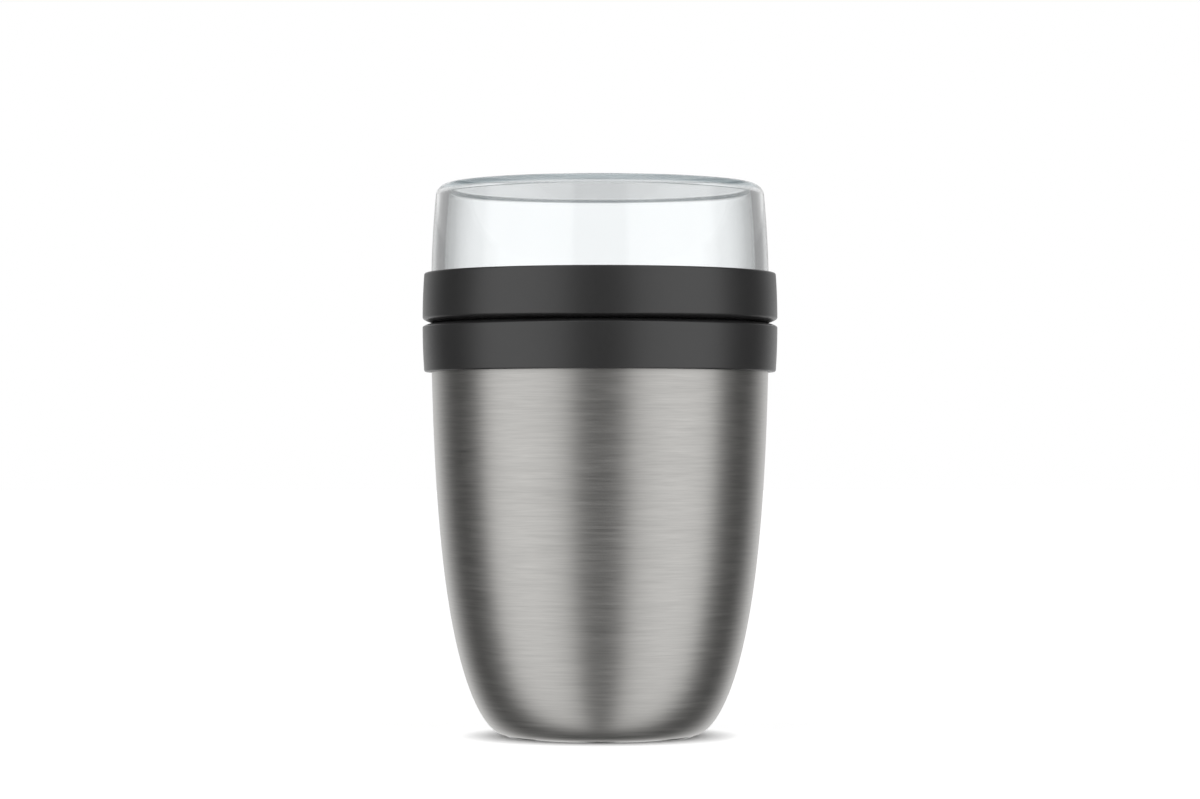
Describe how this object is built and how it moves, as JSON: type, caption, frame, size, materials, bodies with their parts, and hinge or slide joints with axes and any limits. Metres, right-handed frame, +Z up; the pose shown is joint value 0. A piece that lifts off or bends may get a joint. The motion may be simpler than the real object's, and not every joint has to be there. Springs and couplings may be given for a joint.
{
  "type": "insulated food container",
  "caption": "Insulated food container: double-walled steel pot with a screw lid, and a clear cup upside down on its own screw lid on top.",
  "frame": {"origin": "centre of the foot, on the surface that the pot stands on", "axes": "+Z up along the axis that every piece shares; the pot is round, so X and Y are free"},
  "size_m": [0.1068, 0.1068, 0.1661],
  "materials": {
    "brushed_wall": "brushed round the axis",
    "plain_steel": "satin",
    "dark_plastic": "matte, finely textured",
    "silicone": "matte, slightly milky",
    "foam": "foamed, matte",
    "solder_glass": "fused, glossy",
    "getter_metal": "sintered, dull",
    "clear_plastic": "clear, glossy"
  },
  "bodies": {
    "pot": {"outer_shell": "brushed_wall", "inner_liner": "plain_steel", "vacuum_base": "plain_steel", "solder_bead": "solder_glass", "getter": "getter_metal", "foot_cap": "plain_steel"},
    "pot_seal": {"pot_seal": "silicone"},
    "pot_lid": {"pot_lid": "dark_plastic", "lid_foam": "foam", "lid_insert": "dark_plastic"},
    "cup_lid": {"cup_lid": "dark_plastic"},
    "cup_seal": {"cup_seal": "silicone"},
    "cup": {"cup": "clear_plastic"}
  },
  "joints": [
    {"name": "pot_lid_lift", "type": "slide", "parent": "pot", "child": "pot_seal", "axis": [0, 0, 1], "range_m": [0, 0.06]},
    {"name": "pot_lid_turn", "type": "hinge", "parent": "pot_seal", "child": "pot_lid", "pos_m": [0, 0, 0.12135], "axis": [0, 0, 1], "range_deg": [0, 450]},
    {"name": "cup_lid_lift", "type": "slide", "parent": "pot_lid", "child": "cup_lid", "axis": [0, 0, 1], "range_m": [0, 0.05]},
    {"name": "cup_rise", "type": "slide", "parent": "cup_lid", "child": "cup_seal", "axis": [0, 0, 1], "range_m": [0, 0.005]},
    {"name": "cup_turn", "type": "hinge", "parent": "cup_seal", "child": "cup", "pos_m": [0, 0, 0.1286], "axis": [0, 0, 1], "range_deg": [0, 450]}
  ],
  "couplings": [
    {"joint": "cup_rise", "follows": "cup_turn", "m_per_rad": 0.0006366}
  ]
}
